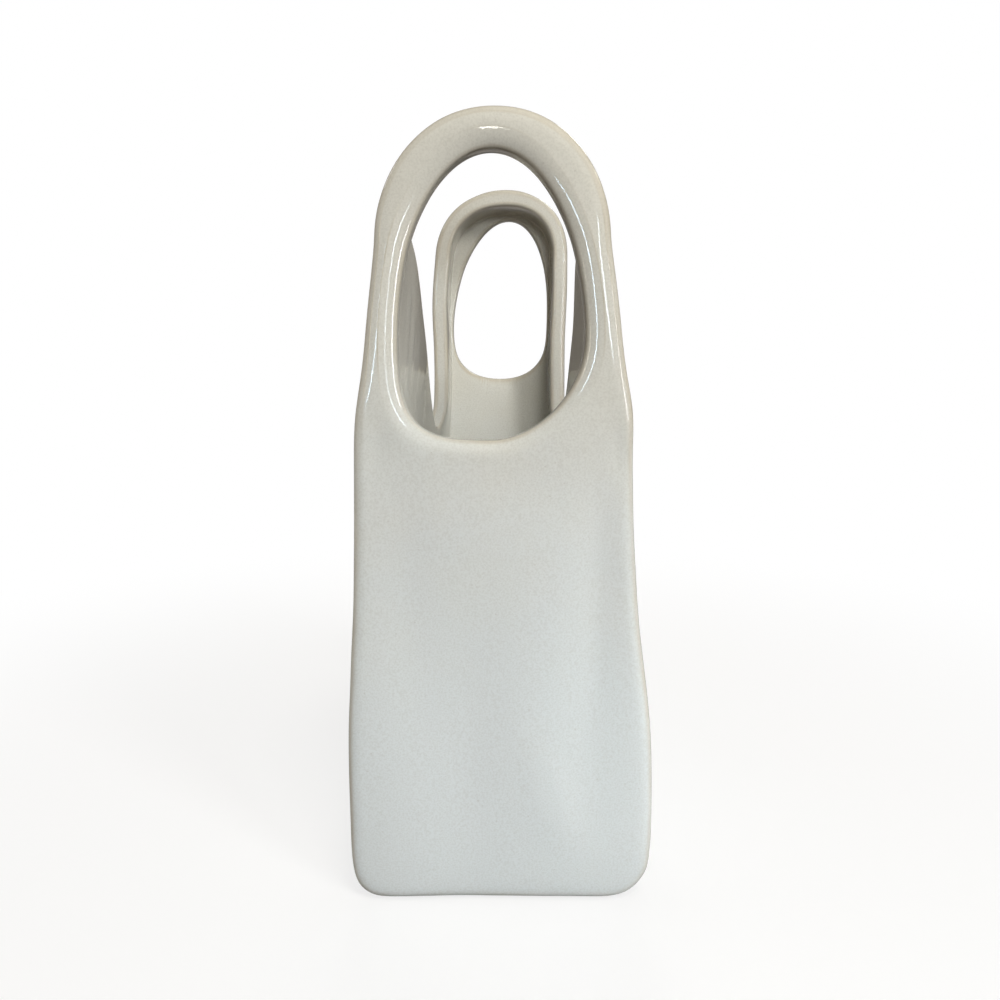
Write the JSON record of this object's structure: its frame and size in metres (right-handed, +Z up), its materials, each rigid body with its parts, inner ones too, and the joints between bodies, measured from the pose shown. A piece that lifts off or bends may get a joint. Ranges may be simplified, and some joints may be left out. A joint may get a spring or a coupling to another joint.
{
  "type": "hanging wall vase",
  "caption": "Glazed ceramic wall vase shaped like a carrier bag: flared body with open mouth, an arched handle in front and a strap handle behind that takes a hook.",
  "frame": {"origin": "middle of the bounding box on the underside of the base", "axes": "+Z up, -Y towards the viewer of the front wall, +Y into the wall the vase hangs on, +X to the right seen from the front"},
  "size_m": [0.1003, 0.12, 0.2498],
  "materials": {
    "glaze": "glossy clear white glaze over pale stoneware"
  },
  "bodies": {
    "root": {"base_slab": "glaze", "front_wall": "glaze", "left_side_wall": "glaze", "right_side_wall": "glaze", "back_wall": "glaze", "front_handle": "glaze", "rear_handle": "glaze", "base_seam_coil": "glaze", "front_left_seam_coil": "glaze", "front_right_seam_coil": "glaze", "rear_left_seam_coil": "glaze", "rear_right_seam_coil": "glaze"}
  },
  "joints": []
}
